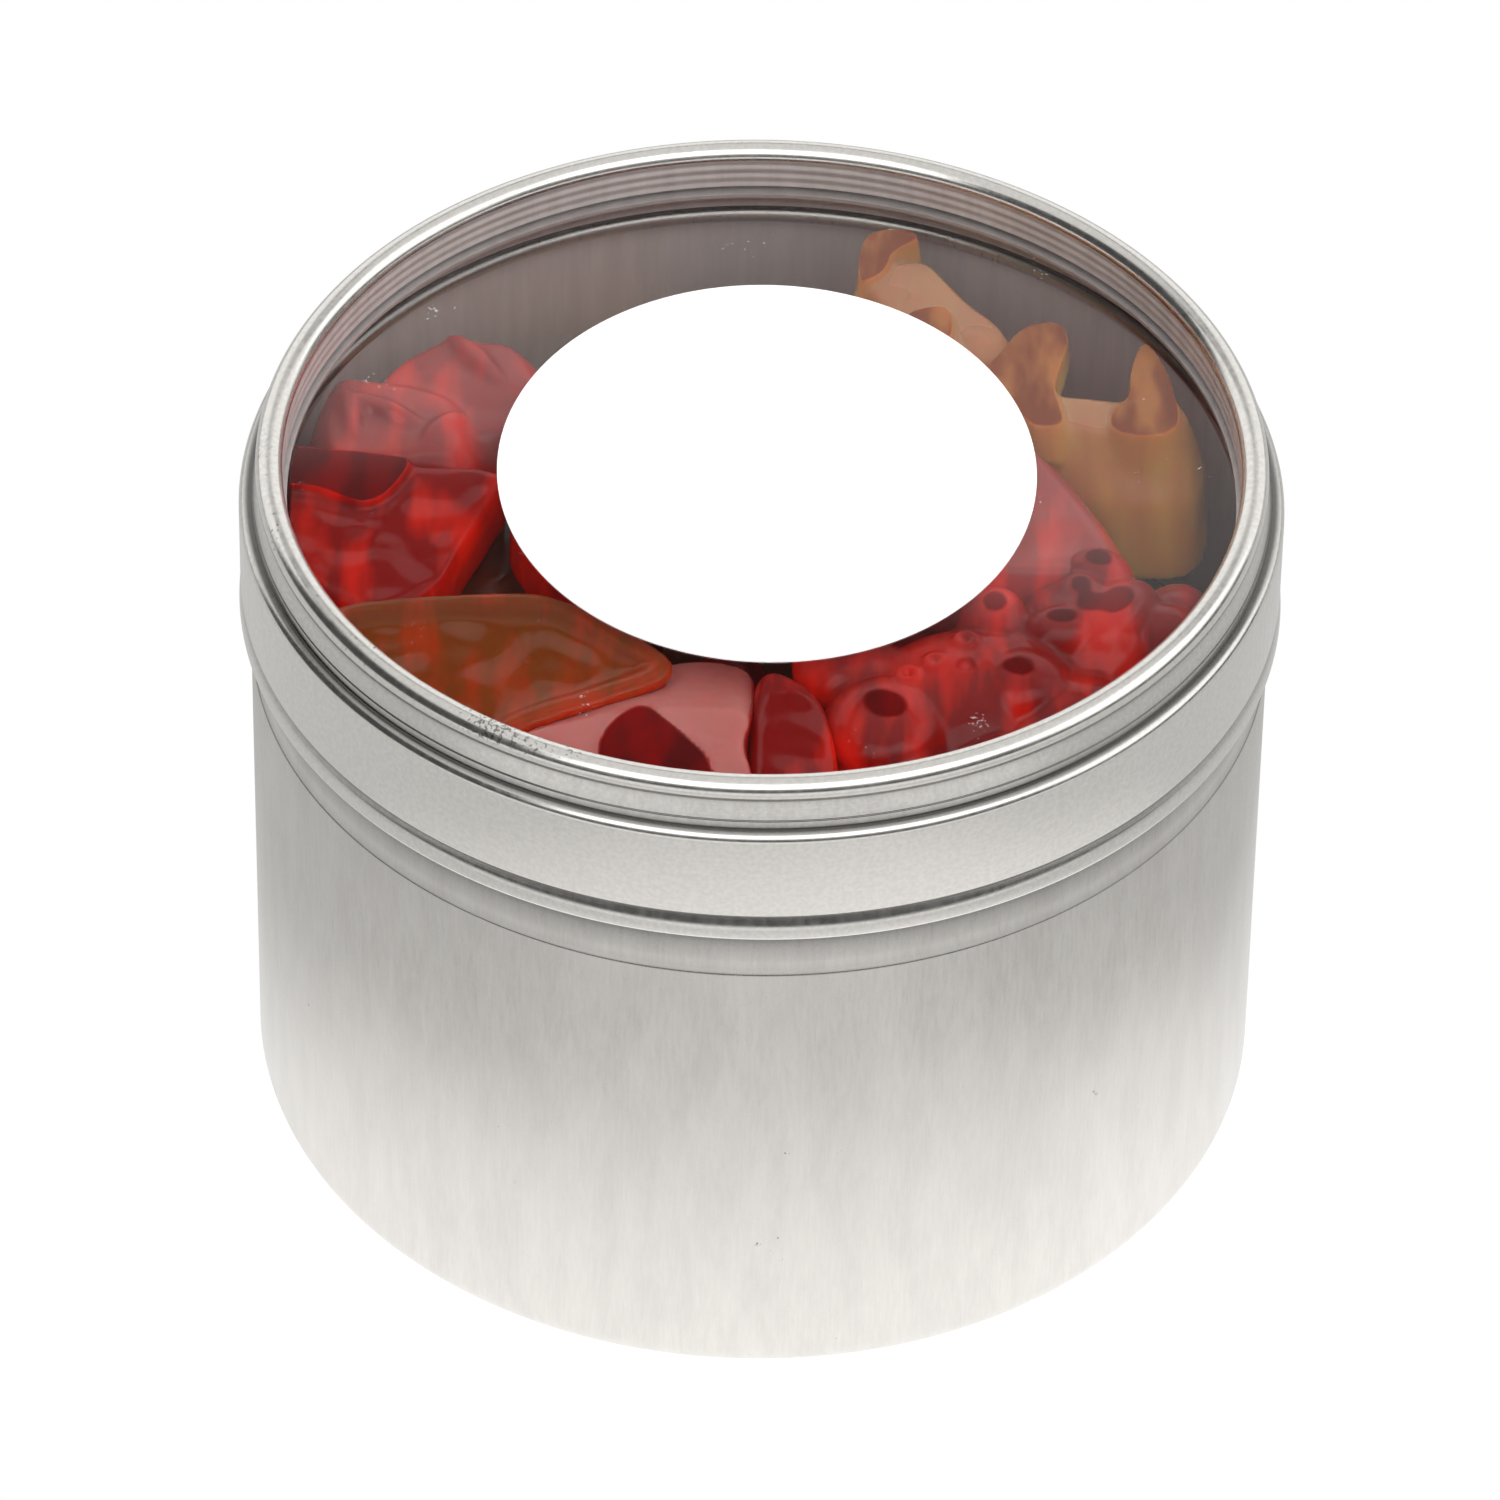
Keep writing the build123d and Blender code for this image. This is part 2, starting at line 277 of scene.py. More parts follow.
def turned_lines(tree, place):
    """Fine lines that run round the axis: noise of the radius and the height."""
    x, y, z = axes(tree, place)
    flat = add_node(tree, "ShaderNodeCombineXYZ", X=x, Y=y).outputs[0]
    radius = add_node(tree, "ShaderNodeVectorMath", {"operation": "LENGTH"}, Vector=flat).outputs["Value"]
    vector = add_node(tree, "ShaderNodeCombineXYZ", X=calculate(tree, "MULTIPLY", radius, line_fineness),
                      Y=calculate(tree, "MULTIPLY", x, line_drift),
                      Z=calculate(tree, "MULTIPLY", z, line_fineness)).outputs[0]
    lines = noise_value(tree, vector, 1.0, Detail=2.0, Roughness=0.5)
    return remap(tree, lines, contrast_low, contrast_high)


def paint_crevice_shade(tree, colour, share):
    """Paint shade into a colour where another surface is close by, as in grooves and under the hem."""
    near = add_node(tree, "ShaderNodeAmbientOcclusion", {"samples": 8, "only_local": False},
                    Distance=crevice_reach).outputs["AO"]
    dark = remap(tree, near, crevice_open, crevice_shut, 0.0, share, smooth=False)
    return mix_colour(tree, dark, colour, scuff_and_shade_colour)


def close_metal(tree, output, colour, lines, relief, streaks, roughness):
    """The shader of an outer metal: fine relief from its lines, roughness from its streaks."""
    height = calculate(tree, "MULTIPLY", lines, relief)
    bump = add_node(tree, "ShaderNodeBump", Strength=1.0, Distance=1.0, Height=height)
    shader = add_node(tree, "ShaderNodeBsdfPrincipled", Base_Color=colour, Metallic=1.0,
                      Roughness=remap(tree, streaks, 0.0, 1.0, *roughness, smooth=False),
                      Normal=bump.outputs[0])
    tree.links.new(shader.outputs[0], output.inputs["Surface"])


def tin_metal():
    """Dull drawn metal with upright streaks."""
    material, tree, output = new_material("tin_metal")
    streaks = use_group(tree, grain_group, Across=4200.0, Along=480.0)
    broad = use_group(tree, grain_group, Across=420.0, Along=110.0)
    both = calculate(tree, "MULTIPLY", calculate(tree, "ADD", streaks, broad), 0.5)
    colour = mix_colour(tree, both, tin_streak_colour, tin_colour)
    specks = use_group(tree, scuff_group, Size=1900.0, Patches=300.0, Least=0.7)
    colour = mix_colour(tree, specks, colour, scuff_and_shade_colour)
    # Painted shade under the hem and in the grooves, faded out near the base.
    height_here = axes(tree, object_place(tree))[2]
    share = remap(tree, height_here, no_shade_below, 2 * no_shade_below, 0.0, tin_painted_shade_share)
    colour = paint_crevice_shade(tree, colour, share)
    close_metal(tree, output, colour, streaks, tin_relief, streaks, tin_roughness)
    return material


def tin_inside():
    """The duller metal of the inner faces."""
    material, tree, output = new_material("tin_inside")
    streaks = use_group(tree, grain_group, Across=900.0, Along=90.0)
    colour = mix_colour(tree, streaks, inside_streak_colour, inside_colour)
    shader = add_node(tree, "ShaderNodeBsdfPrincipled", Base_Color=colour, Metallic=0.55, Roughness=0.5)
    tree.links.new(shader.outputs[0], output.inputs["Surface"])
    return material


def lid_metal():
    """Brighter pressed metal with lines round it and dark scuffs on the rim's left front."""
    material, tree, output = new_material("lid_metal")
    place = object_place(tree)
    streaks = use_group(tree, grain_group, Across=1500.0, Along=150.0)
    scuffs = use_group(tree, scuff_group, Size=3800.0, Patches=150.0, Least=0.59)
    for part, (none, full) in zip(axes(tree, place), rim_scuff_bounds):
        scuffs = calculate(tree, "MULTIPLY", scuffs, remap(tree, part, none, full))
    scuffs = calculate(tree, "MULTIPLY", scuffs, scuff_strength)
    grain = remap(tree, noise_value(tree, place, lid_grain_size, Detail=2.0), contrast_low, contrast_high)
    colour = mix_colour(tree, grain, lid_grain_colour, lid_colour)
    colour = mix_colour(tree, scuffs, colour, scuff_and_shade_colour)
    # Painted shade in the grooves and creases of the lid.
    colour = paint_crevice_shade(tree, colour, lid_painted_shade_share)
    close_metal(tree, output, colour, turned_lines(tree, place), lid_relief, streaks, lid_roughness)
    return material


tin_finish = tin_metal()
tin_inside_finish = tin_inside()
lid_finish = lid_metal()
print("metals:", tin_finish.name, tin_inside_finish.name, lid_finish.name)

# %% [markdown]
# ## Turned shapes
#
# The tin, the lid and the retainer are all turned shapes: one outline spun round the axis. The CAD
# meshes have the right shape but few facets, and a mirror shows every facet. So each is spun again
# here from the same outline, with many more steps, and smooth shading that keeps sharp edges. The
# new outlines also have some forms of a few tenths of a millimetre that the CAD leaves out.

# %% Outline and lathe helpers
ring_steps = 288
sharp_angle = radians(32)
weld_reach = 0.001 * mm


def arc(centre, radius, start, sweep, steps):
    """Points along an arc, angles in degrees."""
    angles = [radians(start + sweep * step / steps) for step in range(steps + 1)]
    return [(centre[0] + radius * cos(angle), centre[1] + radius * sin(angle)) for angle in angles]


def lathe(name, outline, material, closed=True):
    """Spin an outline of (radius, height) points, in millimetres, once round the Z axis."""
    count = len(outline)
    points = []
    for step in range(ring_steps):
        turn = tau * step / ring_steps
        points += [(r * mm * cos(turn), r * mm * sin(turn), h * mm) for r, h in outline]
    faces = []
    spans = count if closed else count - 1
    for step in range(ring_steps):
        here = step * count
        there = (step + 1) % ring_steps * count
        for i in range(spans):
            j = (i + 1) % count
            faces.append((here + i, there + i, there + j, here + j))
    mesh = bpy.data.meshes.new(name)
    mesh.from_pydata(points, [], faces)
    work = bmesh.new()
    work.from_mesh(mesh)
    bmesh.ops.remove_doubles(work, verts=work.verts, dist=weld_reach)
    bmesh.ops.recalc_face_normals(work, faces=work.faces)
    work.to_mesh(mesh)
    work.free()
    mesh.shade_smooth()
    mesh.set_sharp_from_angle(angle=sharp_angle)
    mesh.materials.append(material)
    piece = bpy.data.objects.new(name, mesh)
    bpy.context.scene.collection.objects.link(piece)
    return piece


# %% Sizes that come from the frame, in millimetres
tin_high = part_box("tin_body")[1] / mm
lid_low, lid_high = (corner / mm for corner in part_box("lid_shell"))
window_low, window_high = (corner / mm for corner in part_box("window"))
body_radius = tin_high.x
mouth_height = tin_high.z
hem_bottom = lid_low.z
hem_outer = lid_high.x
ledge_underside = window_low.z
window_top = window_high.z
print("body radius %.2f, lid radius %.2f, height %.2f" % (body_radius, hem_outer, lid_high.z))

# %% [markdown]
# ### Tin body
#
# A seamless cup: a raised base panel, a rounded corner, a straight wall with a slight step in to
# the neck, and a mouth curled inwards so that no sharp edge shows. The step is a short slope with a
# fine edge in it, which shows as the faint line below the lid. The inner faces are duller.

# %% Tin body
tin_sheet = 0.25
base_corner = 2.0
foot_width = 2.7
panel_rise = 0.6
neck_step = 0.2
step_rise = 0.5
step_foot_in = 0.04
step_foot_up = 0.1
step_edge = 0.045
step_below_hem = 3.6
curl_radius = 0.6
neck_radius = body_radius - neck_step
neck_inside = neck_radius - tin_sheet
body_inside = body_radius - tin_sheet
curl_centre = (neck_radius - curl_radius, mouth_height - curl_radius)
corner_centre = (body_radius - base_corner, base_corner)
foot_inner = corner_centre[0] - foot_width
panel_edge = foot_inner - panel_rise
step_height = hem_bottom - step_below_hem
step_foot = (body_radius - step_foot_in, step_height + step_foot_up)
step_top = step_height + step_rise

tin_outline = [(0, panel_rise), (panel_edge, panel_rise), (foot_inner, 0)]
tin_outline += arc(corner_centre, base_corner, -90, 90, steps=14)
tin_outline += [(body_radius, step_height), step_foot]
tin_outline += [(step_foot[0] - step_edge, step_foot[1] + step_edge / 2), (neck_radius, step_top)]
tin_outline += arc(curl_centre, curl_radius, 0, 270, steps=24)
tin_outline += arc(curl_centre, curl_radius - tin_sheet, 270, -270, steps=24)
tin_outline += [(neck_inside, step_top), (body_inside, step_height)]
tin_outline += arc(corner_centre, base_corner - tin_sheet, 0, -90, steps=14)
tin_outline += [(foot_inner, tin_sheet), (panel_edge, panel_rise + tin_sheet), (0, panel_rise + tin_sheet)]
tin = lathe("tin_shell", tin_outline, tin_finish, closed=False)
tin.data.materials.append(tin_inside_finish)
for face in tin.data.polygons:
    outward = face.normal.x * face.center.x + face.normal.y * face.center.y
    if outward < 0 and tin_sheet < face.center.z / mm < mouth_height - 2 * curl_radius:
        face.material_index = 1
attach(tin, "tin")
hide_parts("tin_body")
print("tin:", len(tin.data.polygons), "faces")

# %% [markdown]
# ### Lid shell
#
# One pressed sheet. From the bottom: a folded hem, a pressed line above it, the skirt, a rounded
# shoulder, a narrow ledge, the ring wall with a fine crease at its foot, and a rolled rim. The top of
# the hem leans in and the groove above it is deep, so the two together mirror a dark band. Fine
# ripples on the wall of the aperture break up what it mirrors, and the finish there is the duller one.

# %% Lid shell
lid_sheet = 0.27
hem_height = 1.45
hem_proud = 0.1
hem_bulge = 1.8
hem_widest = 0.55
hem_top_angle = 28
hem_sweep = 15
hem_round = 0.3
lip_round = 0.1
lip_sweep = 80
groove_lift = 0.5
groove_depth = 0.22
groove_drop = 0.26
ripples = 3
ripple_steps = 36
ripple_depth = 0.07
face_margin = 0.02
shoulder_radius = 0.65
ledge_width = 0.12
ring_lean = 0.31
bead_radius = 0.85
waist_angle = 36
crease_height = 0.5
crease_radius = 0.07
hem_top = hem_bottom + hem_height
hem_inner = hem_outer - 3 * lid_sheet
skirt_radius = hem_outer - hem_proud
skirt_inside = skirt_radius - lid_sheet
ledge_height = ledge_underside + lid_sheet
shoulder_centre = (skirt_radius - shoulder_radius, ledge_height - shoulder_radius)
wall_foot = (shoulder_centre[0] - ledge_width, ledge_height)
bead_centre = (wall_foot[0] - ring_lean - bead_radius, lid_high.z - bead_radius)
bead_inside = bead_radius - lid_sheet
aperture_radius = bead_centre[0] - bead_radius
groove_top = hem_top + groove_lift
waist = arc(bead_centre, bead_radius, -waist_angle, 0, steps=1)[0]
crease_share = crease_height / (waist[1] - ledge_height)
crease_centre = (wall_foot[0] + (waist[0] - wall_foot[0]) * crease_share, ledge_height + crease_height)
wall_lean = 90 + 180 / pi * atan2(wall_foot[0] - waist[0], waist[1] - wall_foot[1])
wall_rise = bead_centre[1] - window_top

lid_outline = [(hem_inner, hem_bottom + hem_round), (hem_inner, hem_top), (skirt_inside, hem_top)]
lid_outline += arc(shoulder_centre, shoulder_radius - lid_sheet, 0, 90, steps=10)
lid_outline += [(wall_foot[0] - lid_sheet, ledge_underside)]
lid_outline += arc(bead_centre, bead_inside, -waist_angle, 180 + waist_angle, steps=30)
lid_outline += [(bead_centre[0] - bead_inside, window_top), (aperture_radius, window_top)]
for step in range(1, ripple_steps):
    swell = ripple_depth * (1 - cos(tau * ripples * step / ripple_steps)) / 2
    lid_outline.append((aperture_radius + swell, window_top + wall_rise * step / ripple_steps))
lid_outline += arc(bead_centre, bead_radius, 180, -180 - waist_angle, steps=44)
lid_outline += arc(crease_centre, crease_radius, wall_lean, 180, steps=6)
lid_outline += [wall_foot]
lid_outline += arc(shoulder_centre, shoulder_radius, 90, -90, steps=18)
lid_outline += arc((skirt_radius - lip_round, groove_top + lip_round), lip_round, 0, -lip_sweep, steps=6)
lid_outline += [(skirt_radius - groove_depth, groove_top - groove_drop)]
lid_outline += arc((hem_outer - hem_bulge, hem_bottom + hem_widest), hem_bulge,
                   hem_top_angle, -hem_sweep, steps=6)
lid_outline += arc((hem_outer - hem_round, hem_bottom + hem_round), hem_round, 0, -90, steps=8)
lid_outline += arc((hem_inner + hem_round, hem_bottom + hem_round), hem_round, -90, -90, steps=8)
lid = lathe("lid_pressing", lid_outline, lid_finish)
lid.data.materials.append(tin_inside_finish)
aperture_reach = aperture_radius + ripple_depth + face_margin
for face in lid.data.polygons:
    reach = hypot(face.center.x, face.center.y) / mm
    if reach < aperture_reach and window_top < face.center.z / mm < bead_centre[1]:
        face.material_index = 1
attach(lid, "lid")
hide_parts("lid_shell")
print("lid:", len(lid.data.polygons), "faces")

# %% [markdown]
# ### Window retainer
#
# A thin ring under the window holds it in the lid. Through the window its flange and wall show as
# fine bright and dark rings along the back.

# %% Window retainer
retainer_low, retainer_high = (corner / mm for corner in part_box("window_retainer"))
retainer_sheet = 0.25
retainer_lip = 0.25
lip_radius = aperture_radius - retainer_lip
flange_under = retainer_high.z - retainer_sheet
wall_outer = curl_centre[0] + retainer_sheet / 2
wall_inner = curl_centre[0] - retainer_sheet / 2
retainer_outline = [
    (lip_radius, retainer_high.z), (retainer_high.x, retainer_high.z), (retainer_high.x, flange_under),
    (wall_outer, flange_under), (wall_outer, retainer_low.z), (wall_inner, retainer_low.z),
    (wall_inner, flange_under), (lip_radius, flange_under),
]
retainer = lathe("retainer_ring", retainer_outline, tin_inside_finish)
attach(retainer, "lid")
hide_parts("window_retainer")
print("retainer:", len(retainer.data.polygons), "faces")

# %% [markdown]
# ## Window
#
# The window is a flat clear disc, so its CAD mesh is kept. Real refraction through a thin flat disc
# hardly moves what lies behind it, but it would stop the light from reaching the sweets. So the
# finish mixes plain transparency with a mirror, by Fresnel. Specks of dust lie on top: patchy noise,
# cut off near its peaks.

# %% Window finish
window_ior = 1.6
mirror_roughness = 0.03
dust_size = 3000.0
dust_patches = 260.0
dust_from = 0.675
dust_full = 0.715
dust_cover = 0.6
dust_colour = (0.8, 0.78, 0.76)


def clear_window():
    """Clear film: transparent, with a mirror on its upper face and specks of dust."""
    material, tree, output = new_material("clear_window")
    face = add_node(tree, "ShaderNodeNewGeometry")
    fresnel = add_node(tree, "ShaderNodeFresnel", IOR=window_ior)
    front = calculate(tree, "SUBTRACT", 1.0, face.outputs["Backfacing"])
    share = calculate(tree, "MULTIPLY", fresnel.outputs[0], front)
    clear = add_node(tree, "ShaderNodeBsdfTransparent").outputs[0]
    mirror = add_node(tree, "ShaderNodeBsdfAnisotropic", Roughness=mirror_roughness).outputs[0]
    film = mix_shaders(tree, share, clear, mirror)
    amount = patchy_noise(tree, object_place(tree), dust_size, dust_patches)
    specks = calculate(tree, "MULTIPLY", remap(tree, amount, dust_from, dust_full), dust_cover)
    dust = add_node(tree, "ShaderNodeBsdfDiffuse", Color=dust_colour).outputs[0]
    tree.links.new(mix_shaders(tree, specks, film, dust), output.inputs["Surface"])
    return material


def dress(node, finish):
    """Give a kept CAD node its finish."""
    nodes[node].data.materials.clear()
    nodes[node].data.materials.append(finish)


dress("window", clear_window())

# %% [markdown]
# ## Label
#
# A plain white oval of paper. It stays bare. A faint fibre grain keeps it from looking like plastic,
# and a little light of its own keeps it as white as in the photograph.

# %% Label finish
paper_light = (0.94, 0.94, 0.94)
paper_dark = (0.9, 0.9, 0.9)
fibre_size = 2500.0
fibre_height = 0.02 * mm
paper_painted_light = 0.3


def bare_paper():
    """White paper that gives off a little painted light of its own."""
    material, tree, output = new_material("bare_label")
    fibres = noise_value(tree, object_place(tree), fibre_size, Detail=3.0)
    bump = add_node(tree, "ShaderNodeBump", Strength=0.15, Distance=fibre_height, Height=fibres)
    colour = mix_colour(tree, fibres, paper_dark, paper_light)
    # The emission is painted light: the paper glows though it is no lamp.
    shader = add_node(tree, "ShaderNodeBsdfPrincipled", Base_Color=colour, Roughness=0.7,
                      Normal=bump.outputs[0], Emission_Color=(1.0, 1.0, 1.0), Emission_Strength=paper_painted_light)
    tree.links.new(shader.outputs[0], output.inputs["Surface"])
    return material


dress("label", bare_paper())
print("window and label keep their CAD meshes")

# %% [markdown]
# ## Gummy finish
#
# A gummy sweet is a coloured jelly with a matt skin. Light goes in, scatters and comes out deeper
# in colour. Each sweet carries three numbers per vertex. Press says where it lies flat on the window:
# its skin can't scatter there, so that patch looks dark and clear. Glow is painted light: a brighter
# colour near its sides, where light comes through, and random patches of it. The third number is a
# misty skin with a painted sheen on it, strongest where it faces up.

# %% Gummy finish
grain_size = 1300.0
cloud_size = 380.0
cloud_stretch = (1.0, 0.3, 0.3)
glow_bounds = (0.35, 0.7)
glow_swing = (-0.3, 0.5)
flat_bounds = (0.4, 0.65)
mist_swing = (0.92, 1.06)
mist_full = 0.6
skin_roughness = (0.07, 0.3)
skin_coat = 0.12
frost_bump = 0.02 * mm
jelly_density = 90.0
scatter_reach = (1.0, 0.15, 0.08)
scatter_scale = 1.5 * mm


def gummy(name, deep_colour, glow_and_painted_light_colour, press_colour, frost_and_sheen_colour, absorb_colour, see_through):
    """Jelly, dark and clear where pressed flat, with painted light on its sides and random glow, and a
    misty skin with a painted sheen on faces that point up.
    """
    material, tree, output = new_material(name)
    place = object_place(tree)
    press, glow, frost_and_sheen = (add_node(tree, "ShaderNodeAttribute", {"attribute_name": word}).outputs["Fac"]
                         for word in ("press", "glow", "frost_and_sheen"))
    skin = calculate(tree, "SUBTRACT", 1.0, press)
    fine = noise_value(tree, place, grain_size, Detail=3.0)
    stretched = add_node(tree, "ShaderNodeMapping", Vector=place, Scale=cloud_stretch).outputs[0]
    broad = noise_value(tree, stretched, cloud_size, Detail=3.0)
    # Painted light: the glow number brightens the sides, and broad noise adds random glow.
    glowing = calculate(tree, "ADD", glow, remap(tree, broad, *glow_bounds, *glow_swing), clamp=True)
    colour = mix_colour(tree, glowing, deep_colour, glow_and_painted_light_colour)
    grainy = remap(tree, fine, contrast_low, contrast_high, *mist_swing)
    # Painted sheen with real frost: a pale colour mixed in on the skin, most on faces that point up.
    colour = mix_colour(tree, calculate(tree, "MULTIPLY", frost_and_sheen, grainy, clamp=True), colour, frost_and_sheen_colour)
    flat_colour = mix_colour(tree, remap(tree, broad, *flat_bounds), press_colour, deep_colour)
    colour = mix_colour(tree, press, colour, flat_colour)
    height = calculate(tree, "MULTIPLY", calculate(tree, "MULTIPLY", fine, frost_and_sheen), frost_bump)
    bump = add_node(tree, "ShaderNodeBump", Strength=0.6, Distance=1.0, Height=height)
    shader = add_node(tree, "ShaderNodeBsdfPrincipled", Base_Color=colour,
                      Roughness=remap(tree, frost_and_sheen, 0.0, mist_full, *skin_roughness, smooth=False),
                      IOR=1.36, Specular_IOR_Level=0.12, Transmission_Weight=see_through,
                      Coat_Weight=calculate(tree, "MULTIPLY", skin, skin_coat), Coat_Roughness=0.04,
                      Subsurface_Weight=1.0, Subsurface_Radius=scatter_reach,
                      Subsurface_Scale=scatter_scale, Normal=bump.outputs[0])
    tree.links.new(shader.outputs[0], output.inputs["Surface"])
    jelly = add_node(tree, "ShaderNodeVolumeAbsorption", Color=absorb_colour, Density=jelly_density)
    tree.links.new(jelly.outputs[0], output.inputs["Volume"])
    return material


# The pale skin colours are partly real frost and partly a painted sheen.
gummy_finish = {
    "gummy_red": gummy(
        "gummy_red", deep_colour=(0.26, 0.0015, 0.001), glow_and_painted_light_colour=(1.0, 0.02, 0.004),
        press_colour=(0.12, 0.002, 0.002), frost_and_sheen_colour=(0.62, 0.2, 0.18),
        absorb_colour=(0.95, 0.2, 0.12), see_through=0.2),
    "gummy_amber": gummy(
        "gummy_amber", deep_colour=(0.27, 0.055, 0.003), glow_and_painted_light_colour=(0.72, 0.045, 0.004),
        press_colour=(0.3, 0.09, 0.01), frost_and_sheen_colour=(0.36, 0.18, 0.08),
        absorb_colour=(0.95, 0.55, 0.1), see_through=0.35),
    "gummy_brown": gummy(
        "gummy_brown", deep_colour=(0.05, 0.012, 0.006), glow_and_painted_light_colour=(0.12, 0.025, 0.01),
        press_colour=(0.03, 0.008, 0.004), frost_and_sheen_colour=(0.3, 0.2, 0.16),
        absorb_colour=(0.7, 0.3, 0.2), see_through=0.2),
    "gummy_pale_amber": gummy(
        "gummy_pale_amber", deep_colour=(0.5, 0.18, 0.035), glow_and_painted_light_colour=(0.66, 0.33, 0.05),
        press_colour=(0.24, 0.045, 0.003), frost_and_sheen_colour=(0.52, 0.28, 0.19),
        absorb_colour=(0.97, 0.75, 0.4), see_through=0.2),
}
print("jellies:", ", ".join(gummy_finish))

# %% [markdown]
# ## Sculpting the sweets
#
# Each sweet starts as rough lumps that overlap: balls, rounded slabs and rises that the window
# flattens. A voxel remesh fuses them into one skin and a smoothing pass softens the joins, as when
# the sweet was cast. Then the points that would stand above the window's underside are pressed down
# onto it, and how far each was pressed is kept as the press number.

# %% Lumps
press_plane = ledge_underside - 0.08
dome_spread = 2.6
dome_depth = 2.4
curve_steps = 6
patch_levels = ((1.3, -2.6), (1.1, -0.2), (1.02, 0.7))


def add_ball(work, x, y, z, rx, ry, rz, turn=0):
    """Add an egg shaped lump, in millimetres and degrees."""
    stretch = Matrix.Diagonal((rx, ry, rz, 1))
    spin = Matrix.Rotation(radians(turn), 4, "Z")
    bmesh.ops.create_icosphere(work, subdivisions=4, radius=1,
                               matrix=Matrix.Translation((x, y, z)) @ spin @ stretch)


def dome(x, y, half_x, half_y, turn=0):
    """The egg that the window flattens to an ellipse with these half sizes."""
    sunk = dome_depth * sqrt(1 - 1 / dome_spread**2)
    return (x, y, press_plane - sunk, half_x * dome_spread, half_y * dome_spread, dome_depth, turn)


def rounded(corners):
    """Points on a closed curve through these corners."""
    ring = []
    count = len(corners)
    for i in range(count):
        before, here, after, beyond = (Vector(corners[(i + k) % count]) for k in (-1, 0, 1, 2))
        for step in range(curve_steps):
            t = step / curve_steps
            ring.append(0.5 * (2 * here + (after - before) * t
                               + (2 * before - 5 * here + 4 * after - beyond) * t**2
                               + (3 * here - before - 3 * after + beyond) * t**3))
    return ring


def add_loft(work, *levels):
    """Add a solid through outlines at rising heights, which all have as many corners."""
    rings = [[work.verts.new((point.x, point.y, height)) for point in rounded(corners)]
             for corners, height in levels]
    work.faces.new(reversed(rings[0]))
    work.faces.new(rings[-1])
    for below, above in zip(rings, rings[1:]):
        for i in range(len(below)):
            j = (i + 1) % len(below)
            work.faces.new((below[i], below[j], above[j], above[i]))


def grown(corners, share):
    """The same outline, made larger or smaller round its middle."""
    middle = sum((Vector(corner) for corner in corners), Vector((0, 0))) / len(corners)
    return [tuple(middle + (Vector(corner) - middle) * share) for corner in corners]


def add_patch(work, corners):
    """Add a rise with sloping sides that the window flattens to this outline."""
    add_loft(work, *[(grown(corners, share), press_plane + rise) for share, rise in patch_levels])


# %% Casting and pressing
voxel = 0.3
wall_limit = lip_radius - 0.15
press_depth = 0.05
wobble = 0.1
wobble_fineness = 0.35
cloud_fineness = 0.22
press_clears = 0.85
cloud_least = 0.6
cloud_range = 0.8
# Painted light on the sides of each sweet, plus a random cloud of glow.
painted_light_from = 0.85
side_painted_light = 0.7
cloud_glow = 0.2


def cast(name, balls=(), lofts=(), patches=(), smoothing=8, size=voxel):
    """Fuse lumps into one smooth mesh, still in millimetres."""
    work = bmesh.new()
    for ball in balls:
        add_ball(work, *ball)
    for loft in lofts:
        add_loft(work, *loft)
    for corners in patches:
        add_patch(work, corners)
    bmesh.ops.recalc_face_normals(work, faces=work.faces)
    rough = bpy.data.meshes.new(name + "_rough")
    work.to_mesh(rough)
    work.free()
    lump = bpy.data.objects.new(name + "_rough", rough)
    bpy.context.scene.collection.objects.link(lump)
    remesh = lump.modifiers.new("remesh", "REMESH")
    remesh.mode = "VOXEL"
    remesh.voxel_size = size
    soften = lump.modifiers.new("soften", "SMOOTH")
    soften.factor = 0.5
    soften.iterations = smoothing
    cast_mesh = bpy.data.meshes.new_from_object(lump.evaluated_get(bpy.context.evaluated_depsgraph_get()))
    bpy.data.objects.remove(lump)
    cast_mesh.name = name
    return cast_mesh


def press_sweet(mesh, frost_and_sheen):
    """Press a cast sweet against the window, scale it to metres and write its three numbers."""
    points = [vertex.co.copy() for vertex in mesh.vertices]
    normals = [vertex.normal.copy() for vertex in mesh.vertices]
    numbers = {"press": [], "frost_and_sheen": [], "glow": []}
    for point, normal in zip(points, normals):
        point += normal * wobble * noise.noise(point * wobble_fineness)
        press = min(max((point.z - press_plane) / press_depth, 0), 1)
        cloud = 0.5 + 0.5 * noise.noise(point * cloud_fineness)
        # Real frost plus a painted sheen, strongest on faces that point up.
        frost_and_sheen_here = frost_and_sheen * (cloud_least + cloud_range * cloud) * max(normal.z, 0)**2
        numbers["press"].append(press)
        numbers["frost_and_sheen"].append((1 - press_clears * press) * frost_and_sheen_here)
        # Glow: painted light on faces that turn away from up, plus random cloud.
        numbers["glow"].append(min(max(painted_light_from - normal.z, 0), 1) * side_painted_light + cloud_glow * cloud)
        point.z = min(point.z, press_plane)
        reach = hypot(point.x, point.y)
        if reach > wall_limit:
            point.x *= wall_limit / reach
            point.y *= wall_limit / reach
    mesh.vertices.foreach_set("co", [value * mm for point in points for value in point])
    for word, values in numbers.items():
        mesh.attributes.new(word, "FLOAT", "POINT").data.foreach_set("value", values)
    mesh.update()


def place_sweet(node, mesh):
    """Let a mesh stand for a sweet's node, in its finish."""
    piece = bpy.data.objects.new(node + "_jelly", mesh)
    bpy.context.scene.collection.objects.link(piece)
    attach(piece, "tin")
    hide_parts(node)
    return piece


